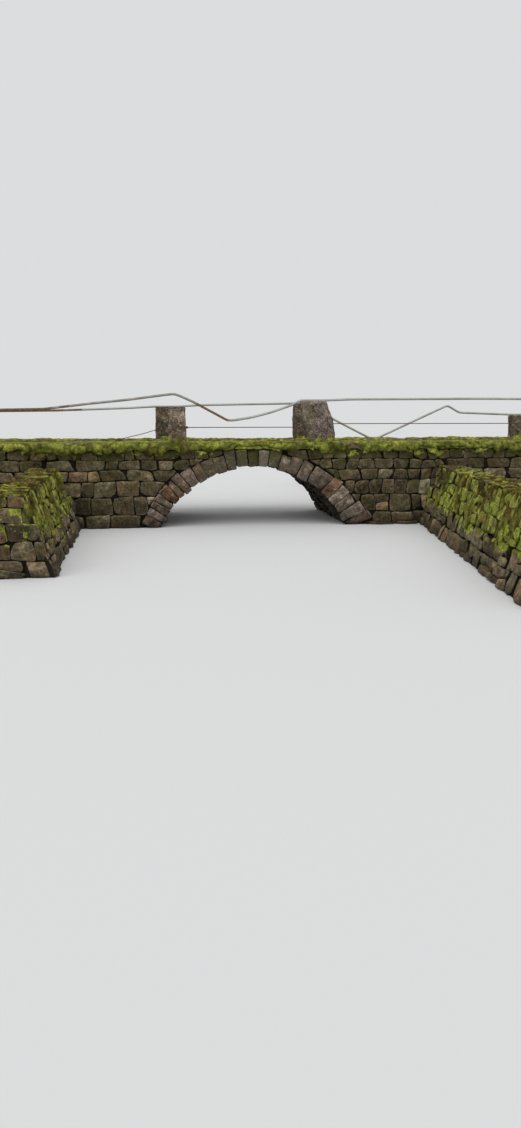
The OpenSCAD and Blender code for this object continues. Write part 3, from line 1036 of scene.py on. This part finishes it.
class Shader(Nodes):
    """A node material."""

    def __init__(self, name, specular=0.5):
        self.material = bpy.data.materials.new(name)
        super().__init__(self.material)
        self.surface = self.tree.nodes["Principled BSDF"]
        self.feed(self.surface, {"Specular IOR Level": specular})

    def place(self):
        return self.node("ShaderNodeTexCoord", "Object")

    def attribute(self, name, output="Fac"):
        return self.node("ShaderNodeAttribute", output, attribute_name=name)

    def axis(self, vector, name):
        return self.node("ShaderNodeSeparateXYZ", name, {0: vector})

    def maths(self, kind, a, b=0.0, clamp=False):
        return self.node("ShaderNodeMath", 0, {0: a, 1: b}, operation=kind, use_clamp=clamp)

    def times(self, a, b):
        return self.maths("MULTIPLY", a, b)

    def add(self, a, b):
        return self.node("ShaderNodeVectorMath", 0, {0: a, 1: b}, operation="ADD")

    def scaled(self, vector, *factors):
        """A vector times one number or three."""
        factors = factors * (3 // len(factors))
        return self.node("ShaderNodeVectorMath", 0, {0: vector, 1: factors}, operation="MULTIPLY")

    def noise(self, vector, scale, detail=3.0, rough=0.55, distortion=0.0):
        values = {"Scale": scale, "Detail": detail, "Roughness": rough, "Distortion": distortion}
        return self.node("ShaderNodeTexNoise", "Fac", {"Vector": vector, **values})

    def cells(self, vector, scale, output="Distance"):
        return self.node("ShaderNodeTexVoronoi", output, {"Vector": vector, "Scale": scale})

    def ramp(self, value, *stops):
        """Colours between stops; a stop is a place and a colour or a grey."""
        colour = self.node("ShaderNodeValToRGB", "Color", {"Fac": value})
        elements = colour.node.color_ramp.elements
        while len(elements) < len(stops):
            elements.new(0.5)
        for element, (at, shade) in zip(elements, stops):
            element.position = at
            element.color = (*shade, 1) if isinstance(shade, tuple) else (shade, shade, shade, 1)
        return colour

    def span(self, value, low, high, to_low=0.0, to_high=1.0):
        values = {"From Min": low, "From Max": high, "To Min": to_low, "To Max": to_high}
        return self.node("ShaderNodeMapRange", "Result", {"Value": value, **values})

    def ragged(self, value, by, amount):
        """A value moved up and down by a noise."""
        return self.maths("ADD", value, self.span(by, 0.3, 0.7, -amount, amount))

    def mix(self, share, a, b, blend="MIX"):
        return self.node("ShaderNodeMix", 2, {0: share, 6: a, 7: b}, data_type="RGBA", blend_type=blend)

    def tinted(self, colour, by):
        return self.mix(1.0, colour, by, "MULTIPLY")

    def shaded(self, colour, value, *stops):
        """A colour times greys between stops."""
        return self.tinted(colour, self.ramp(value, *stops))

    def bump(self, height, distance, strength=1.0, under=None):
        values = {"Height": height, "Distance": distance, "Strength": strength, "Normal": under}
        return self.node("ShaderNodeBump", "Normal", values)

    def done(self, colour, roughness, normal=None, metallic=0.0):
        values = {"Base Color": colour, "Roughness": roughness, "Normal": normal, "Metallic": metallic}
        self.feed(self.surface, values)
        return self.material


MOSS_DARK = (0.068, 0.078, 0.015)
MOSS_GREEN = (0.255, 0.310, 0.046)
MOSS_YELLOW = (0.500, 0.520, 0.085)
MOSS_BROWN = (0.250, 0.175, 0.050)
MOSS_DRY = (0.165, 0.118, 0.032)
MOSS_THIN = (0.050, 0.040, 0.014)
MOSS_CREASE_SHADE = (0.034, 0.034, 0.008)
MOSS_HOLLOW_SHADE = (0.022, 0.022, 0.008)
RED_ROOTS = (0.085, 0.026, 0.014)

WORN_EDGE_AND_HIGHLIGHT = (0.245, 0.215, 0.165)
IRON_STAIN = (0.115, 0.055, 0.022)
LICHEN = (0.33, 0.34, 0.27)
GREEN_FILM = (0.064, 0.066, 0.018)
JOINT_SHADE = (0.010, 0.008, 0.005)
MOSSY_JOINT_SHADE = (0.012, 0.011, 0.005)
WET_TINT = (0.30, 0.27, 0.24)

# Colours of single stones, from dull to pale
RUBBLE_STOPS = (
    (0.00, (0.084, 0.065, 0.033)), (0.28, (0.125, 0.100, 0.053)), (0.52, (0.163, 0.136, 0.080)),
    (0.70, (0.157, 0.108, 0.061)), (0.86, (0.189, 0.158, 0.098)), (0.94, (0.231, 0.151, 0.076)),
    (1.00, (0.334, 0.288, 0.187)),
)
# Colours of the barrel's stones: dark, partly as wet stone and partly as painted shade under the arch
SOFFIT_WET_AND_SHADE_STOPS = ((0.0, (0.040, 0.031, 0.024)), (0.5, (0.062, 0.049, 0.040)), (1.0, (0.095, 0.074, 0.058)))
RING_STOPS = (
    (0.00, (0.140, 0.096, 0.068)), (0.30, (0.191, 0.146, 0.113)), (0.55, (0.228, 0.182, 0.146)),
    (0.75, (0.186, 0.105, 0.065)), (1.00, (0.260, 0.214, 0.170)),
)
POST_STOPS = ((0.0, (0.185, 0.145, 0.098)), (0.5, (0.225, 0.175, 0.140)), (1.0, (0.270, 0.215, 0.180)))

# Speckle over which a stone shows coarse crystals too
COARSE_SPECKLE = 0.2


def moss_colour(s, where):
    """Yellow and green clumps of moss with darker gaps and specks."""
    stops = (0.34, MOSS_BROWN), (0.44, MOSS_GREEN), (0.55, MOSS_YELLOW), (0.68, MOSS_GREEN)
    colour = s.ramp(s.noise(where, 2.6, 4), *stops)
    colour = s.shaded(colour, s.noise(where, 9, 4, 0.65), (0.36, 0.5), (0.48, 0.95), (0.64, 1.3))
    colour = s.mix(s.span(s.noise(where, 22, 5, 0.7), 0.36, 0.54, 0.7, 0.0), colour, MOSS_DARK)
    return s.shaded(colour, s.noise(where, 70, 4, 0.8), (0.36, 0.5), (0.5, 1.0), (0.64, 1.5))


def stone_material(name, stops, speckle=0.12, lichen=0.5, wet=True, green=(1.0, 1.5)):
    """Split stone with a colour of its own for each stone, moss where the mesh carries it, painted shade in
    the joints, painted overhead light and shade, and edges both worn and painted lighter.
    """
    s = Shader(name, specular=0.14)
    where = s.place()
    height = s.axis(where, "Z")
    tint = s.attribute("tint", "Vector")
    own = s.add(where, s.scaled(tint, 9.0))
    base = s.shaded(s.ramp(s.axis(tint, "Y"), *stops), s.axis(tint, "X"), (0.0, 0.62), (1.0, 1.22))
    patches = s.noise(own, 6.5, 6, 0.68, 0.6)
    base = s.shaded(base, patches, (0.34, 0.42), (0.48, 0.9), (0.56, 1.15), (0.68, 1.75))
    base = s.shaded(base, s.noise(own, 24, 5, 0.72), (0.34, 0.55), (0.5, 1.0), (0.66, 1.5))
    # Painted overhead light and shade: faces turned up lighter, faces turned aside or down darker
    up = s.ragged(s.attribute("up"), s.noise(own, 9, 4), 0.3)
    base = s.shaded(base, up, (0.0, 0.66), (0.12, 0.95), (0.5, 1.35))
    # Paler edges, partly worn stone and partly a painted highlight
    worn_and_highlit = s.times(s.attribute("rim"), s.span(s.noise(own, 12, 4, 0.7), 0.38, 0.62, 0.0, 0.45))
    base = s.mix(worn_and_highlit, base, WORN_EDGE_AND_HIGHLIGHT)
    if speckle > COARSE_SPECKLE:
        base = s.shaded(base, s.noise(own, 38, 3, 0.6), (0.36, 0.50), (0.5, 1.0), (0.62, 1.65))
    grain = s.noise(own, 95, 3, 0.7)
    base = s.shaded(base, grain, (0.35, 1 - 2 * speckle), (0.65, 1 + 2 * speckle))
    base = s.mix(s.span(s.noise(own, 3.4, 4), 0.56, 0.72, 0.0, 0.6), base, IRON_STAIN)
    spots = s.cells(s.add(s.scaled(own, 1.02), (0.006, 0.002, 0.004)), 17)
    pale = s.times(s.span(spots, 0.22, 0.10), s.span(s.noise(own, 3.0, 2), 0.5, 0.62, 0.0, lichen))
    base = s.mix(pale, base, LICHEN)
    film = s.span(s.noise(where, 1.9, 5, 0.6), 0.5, 0.72, 0.0, 0.55)
    if green:
        high = s.times(s.span(height, *green), s.span(s.noise(where, 4.5, 5), 0.36, 0.6))
        film = s.maths("MAXIMUM", film, s.times(high, 0.8))
    base = s.mix(film, base, GREEN_FILM)
    # Painted shade on the stones' sides and edges down in the joints
    joint = s.attribute("joint")
    base = s.mix(s.times(joint, 0.92), base, JOINT_SHADE)
    roughness = s.span(patches, 0.3, 0.7, 0.95, 0.72)
    if wet:
        damp = s.span(s.ragged(height, s.noise(where, 5, 3), 0.06), 0.22, 0.02, 0.0, 0.72)
        base = s.mix(damp, base, s.tinted(base, WET_TINT))
        roughness = s.maths("SUBTRACT", roughness, s.times(damp, 0.45))
    moss = s.attribute("moss")
    broken = s.ragged(moss, s.noise(where, 48, 4, 0.7), 0.35)
    share = s.times(s.span(broken, 0.35, 0.6), s.span(moss, 0.02, 0.12))
    base = s.mix(share, base, moss_colour(s, where))
    # Painted shade in the joints, over the moss as well
    base = s.mix(s.times(s.span(joint, 0.0, 0.45), 0.85), base, MOSSY_JOINT_SHADE)
    roughness = s.maths("ADD", roughness, s.times(share, 0.3), clamp=True)
    broad = s.bump(s.noise(own, 9, 4, 0.6, 0.8), 0.05, 0.7)
    rock = s.bump(s.noise(own, 26, 8, 0.66), 0.024, 0.9, broad)
    pits = s.bump(grain, 0.004, 0.6, rock)
    fuzz = s.bump(s.times(s.noise(where, 160, 4, 0.75), share), 0.016, 0.9, pits)
    return s.done(base, roughness, fuzz)


def moss_material(name, brown, red=0.0):
    """Thick moss, browner by the share brown, dry where it thins out, with red roots high on a wall, and
    painted shade on its sides, in its creases and in its hollows.
    """
    s = Shader(name, specular=0.08)
    where = s.place()
    dry = s.span(s.noise(where, 3.1, 5, 0.6), 0.40, 0.62, 0.2 * brown, brown)
    colour = s.mix(dry, moss_colour(s, where), MOSS_DRY)
    if red:
        roots = s.span(s.noise(s.scaled(where, 1.0, 1.0, 0.3), 5.5, 5, 0.65), 0.46, 0.56)
        high = s.span(s.axis(where, "Z"), 0.62, 1.0, 0.0, red)
        colour = s.mix(s.times(roots, high), s.tinted(colour, (1.18, 1.16, 1.1)), RED_ROOTS)
    # Painted shade on moss that faces aside or down
    colour = s.mix(s.span(s.attribute("up"), 0.0, 0.6, 0.42, 0.0), colour, MOSS_DARK)
    # Painted shade in the creases between the cushions
    colour = s.mix(s.times(s.attribute("crease_shade"), 0.75), colour, MOSS_CREASE_SHADE)
    colour = s.mix(s.span(s.attribute("moss"), 0.75, 0.25, 0.0, 0.8), colour, MOSS_THIN)
    # Painted shade in dark hollows of the moss, scattered by noise
    deep = 0.9 if red else 0.62
    shaded_hollows = s.span(s.noise(s.scaled(where, 1.0, 1.0, 0.45), 15, 4, 0.65), 0.36, 0.50, deep, 0.0)
    colour = s.mix(shaded_hollows, colour, MOSS_HOLLOW_SHADE)
    tufts = s.bump(s.noise(where, 30, 6, 0.7), 0.03, 0.8)
    return s.done(colour, 1.0, s.bump(s.noise(where, 170, 4, 0.75), 0.014, 0.9, tufts))


def joint_material():
    """Earth and shadow between the stones, on the solids behind them."""
    s = Shader("joint_earth_and_shade", specular=0.05)
    where = s.place()
    colour = s.ramp(s.noise(where, 8, 5), (0.35, (0.007, 0.006, 0.004)), (0.7, (0.026, 0.021, 0.013)))
    return s.done(colour, 1.0, s.bump(s.noise(where, 40, 6), 0.02))


def deck_material():
    """Trodden earth and gravel, mossy along the middle and beside the edge stones."""
    s = Shader("deck_earth")
    where = s.place()
    pebbles = s.cells(where, 42)
    earth = s.ramp(s.noise(where, 3.5, 6), (0.35, (0.085, 0.062, 0.036)), (0.65, (0.150, 0.118, 0.078)))
    stones = s.mix(1.0, (0.19, 0.165, 0.13), s.cells(where, 42, "Color"), "SOFT_LIGHT")
    colour = s.mix(s.span(pebbles, 0.5, 0.3, 0.0, 0.75), earth, stones)
    side = s.ragged(s.maths("ABSOLUTE", s.axis(where, "Y")), s.noise(where, 2.2, 5), 0.45)
    middle = s.span(s.maths("SUBTRACT", 0.22, side), 0.0, 0.15)
    mossy = s.maths("MAXIMUM", s.span(side, 0.55, 0.75), s.times(middle, 0.8))
    share = s.times(mossy, s.span(s.noise(where, 30, 4, 0.7), 0.3, 0.5))
    colour = s.mix(share, colour, moss_colour(s, where))
    under = s.bump(s.times(pebbles, -1.0), 0.012, 0.7)
    return s.done(colour, 1.0, s.bump(s.noise(where, 120, 5, 0.7), 0.012, 0.8, under))


def tube_material():
    """Weathered zinc on steel, rusty at the front rail's bent end and far left."""
    s = Shader("galvanised_tube")
    where = s.place()
    x = s.axis(where, "X")
    front = s.span(s.axis(where, "Y"), 0.2, -0.2)
    spangle = s.node("ShaderNodeRGBToBW", 0, {0: s.cells(where, 60, "Color")})
    zinc = s.ramp(spangle, (0.0, (0.33, 0.338, 0.315)), (1.0, (0.46, 0.468, 0.440)))
    streaks = s.noise(s.scaled(where, 0.6, 3.0, 3.0), 4.0, 5)
    zinc = s.mix(s.span(streaks, 0.45, 0.7, 0.0, 0.5), zinc, (0.165, 0.165, 0.130))
    bent = s.times(s.span(s.maths("ABSOLUTE", s.maths("ADD", x, 0.80)), 0.42, 0.22), front)
    worst = s.maths("MAXIMUM", bent, s.span(x, -3.2, -4.2))
    wish = s.maths("ADD", worst, s.span(s.noise(where, 5, 6, 0.65), 0.3, 0.75, -0.5, 0.55))
    share = s.span(wish, 0.42, 0.62)
    rust = s.ramp(s.noise(where, 28, 5), (0.35, (0.105, 0.058, 0.036)), (0.65, (0.230, 0.148, 0.102)))
    left = s.times(front, s.span(x, -0.2, -1.2))
    tan = s.times(left, s.span(s.noise(where, 7, 5), 0.4, 0.6, 0.3, 0.75))
    colour = s.mix(share, s.mix(tan, zinc, (0.205, 0.165, 0.135)), rust)
    roughness = s.span(share, 0.0, 1.0, 0.46, 0.92)
    metallic = s.span(share, 0.0, 1.0, 0.35, 0.0)
    return s.done(colour, roughness, s.bump(s.noise(where, 70, 5), 0.002, 0.6), metallic)


def rust_material():
    s = Shader("rusty_iron")
    where = s.place()
    colour = s.ramp(s.noise(where, 30, 6), (0.35, (0.050, 0.024, 0.014)), (0.65, (0.165, 0.075, 0.036)))
    roughness = s.span(s.noise(where, 60, 3), 0.3, 0.7, 0.7, 0.95)
    return s.done(colour, roughness, s.bump(s.noise(where, 90, 5), 0.003), metallic=0.2)


# Moss cover of each kind of wall at points p with normals n, from 0 for none to 1 for full


def upward(n):
    return np.clip(n[:, 2], 0, 1)


def face_cover(p, n):
    return -0.12 + 0.35 * upward(n) + 0.42 * smooth_step(p[:, 2], BED_Z - 0.35, BED_Z - 0.02)


def ring_cover(p, n):
    return -0.30 + 0.4 * upward(n) + 0.52 * smooth_step(p[:, 2], 1.1, 1.5)


def soffit_cover(p, n):
    return np.full(len(p), -0.6)


def wing_cover(p, n):
    wet = np.clip(-np.sign(p[:, 0]) * n[:, 0], 0, 1)
    height = smooth_step(p[:, 2], 0.25, 0.62)
    root = bell(np.abs(p[:, 1]), HALF_W, 0.9) * smooth_step(p[:, 2], 0.6, 0.85)
    return -0.15 + 0.35 * upward(n) + (0.35 + 0.45 * wet) * height - 0.5 * root


def edge_cover(p, n):
    return 0.62 + 0.2 * n[:, 2] - 1.6 * bare_slab(p[:, 0], FRONT) * (p[:, 1] < 0)


# Soft studio light, pale floor and backdrop

SKY_STRENGTH = 0.62
BACKDROP = (0.715, 0.723, 0.728)
FLOOR_COLOUR = (0.74, 0.745, 0.75)
FLOOR_SIZE = 160
SUN_STRENGTH = 1.4
SUN_SPREAD = 70
SUN_TILT = (38, -14, 0)


def studio():
    scene = bpy.context.scene
    scene.view_settings.view_transform = "Standard"
    scene.world = bpy.data.worlds.new("studio")
    world = Nodes(scene.world)
    world.tree.nodes.clear()
    sky, shown = (
        world.node("ShaderNodeBackground", 0, {"Color": colour, "Strength": strength})
        for colour, strength in (((1, 1, 1), SKY_STRENGTH), (BACKDROP, 1.0))
    )
    to_camera = world.node("ShaderNodeLightPath", "Is Camera Ray")
    mixed = world.node("ShaderNodeMixShader", 0, {0: to_camera, 1: sky, 2: shown})
    world.feed(world.tree.nodes.new("ShaderNodeOutputWorld"), {"Surface": mixed})
    lamp = bpy.data.lights.new("sky_light", "SUN")
    lamp.energy = SUN_STRENGTH
    lamp.angle = math.radians(SUN_SPREAD)
    new_object("sky_light", lamp).rotation_euler = [math.radians(angle) for angle in SUN_TILT]
    bpy.ops.mesh.primitive_plane_add(size=FLOOR_SIZE, location=(0, 0, -0.002))
    floor = bpy.context.object
    floor.name = "floor"
    floor.data.materials.append(Shader("floor").done(FLOOR_COLOUR, 0.9))


# The photograph's camera, in front of the arch and left of its axis: place in metres, turns in degrees

PHOTO_H = 1128
FOCAL_PX = 847
CAMERA_AT = (-2.11, -18.425, 2.3)
YAW = 7.5
PITCH_DOWN = 10.2


def camera():
    data = bpy.data.cameras.new("camera")
    data.sensor_fit = "VERTICAL"
    data.sensor_height = 36
    data.lens = FOCAL_PX / PHOTO_H * data.sensor_height
    data.clip_end = 400
    obj = new_object("camera", data)
    obj.location = CAMERA_AT
    obj.rotation_euler = (math.radians(90 - PITCH_DOWN), 0, math.radians(-YAW))
    bpy.context.scene.camera = obj


# The whole bridge

# Brightness and hue of the posts that show in the photograph, and of the others
POST_LOOKS = {"front_right_post": (0.55, 0.85), "front_left_post": (0.5, 0.25), "back_left_post": (0.1, 0.0)}
OTHER_POST = (0.35, 0.4)


def paint(node, material):
    node.data.materials.clear()
    node.data.materials.append(material)


def build_masonry():
    rubble = stone_material("rubble_stone", RUBBLE_STOPS)
    ring = stone_material("arch_stone", RING_STOPS, lichen=0.35, green=(0.95, 1.4))
    soffit = stone_material("soffit_stone", SOFFIT_WET_AND_SHADE_STOPS, lichen=0.1, green=None)
    dark = joint_material()
    wing_moss = moss_material("wing_moss", 0.7, red=0.9)
    paint(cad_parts["core_fill"], dark)
    for node in sorted(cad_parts):
        if "spandrel" in node or "abutment" in node:
            make_core(node, draw_in_faces, dark)
        if "wing" in node:
            make_core(node, draw_in_wing, dark)
    make_core("arch_barrel", draw_in_barrel, dark)
    for face, word, seed in ((FRONT, "front_", 11), (BACK, "back_", 12)):
        pile, stones_over_arch = lay_ring(face, seed)
        finish_stones(pile, word + "ring_stones", ring, ring_cover, word + "arch_ring")
        for name, part in lay_face(face, seed + 20, stones_over_arch).items():
            finish_stones(part, word + name + "_stones", rubble, face_cover)
    finish_stones(lay_soffit(41), "soffit_stones", soffit, soffit_cover)
    for side, word in ((LEFT, "left"), (RIGHT, "right")):
        finish_stones(lay_abutment_end(side, 51 + side), word + "_end_stones", rubble, face_cover)
        for face_word, seed in (("front_", 61), ("back_", 71)):
            name = face_word + word + "_wing_"
            for part, end in zip(lay_wing(name + "wall", seed + side), ("stones", "back")):
                finish_stones(part, name + end, rubble, wing_cover)
            make_wing_moss(name + "wall", wing_moss)
    return rubble


def build_deck(rubble):
    make_deck(deck_material())
    moss = moss_material("edge_moss", 0.3)
    stretches = (("left", -HALF_L, -SPRING_X), ("centre", -SPRING_X, SPRING_X), ("right", SPRING_X, HALF_L))
    for face, face_word in ((FRONT, "front_"), (BACK, "back_")):
        for index, (word, x0, x1) in enumerate(stretches):
            name = face_word + word + "_edge"
            pile = lay_edge(face, x0, x1, 80 + 10 * face + index)
            finish_stones(
                pile, name + "_slabs", rubble, edge_cover, name + "_stones", thick=0.012
            )
            make_edge_moss(face, name + "_moss", x0, x1, moss)


def build_railing():
    granite = stone_material("post_granite", POST_STOPS, speckle=0.22, lichen=0.9, wet=False, green=None)
    posts = [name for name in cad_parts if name.endswith("post")]
    for index, name in enumerate(sorted(posts)):
        make_post(name, 200 + index, granite, POST_LOOKS.get(name, OTHER_POST))
    tube = tube_material()
    rust = rust_material()
    for name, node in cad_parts.items():
        if name.endswith("rail") or "rod" in name:
            paint(node, tube if name.endswith("rail") else rust)


studio()
camera()
build_deck(build_masonry())
build_railing()
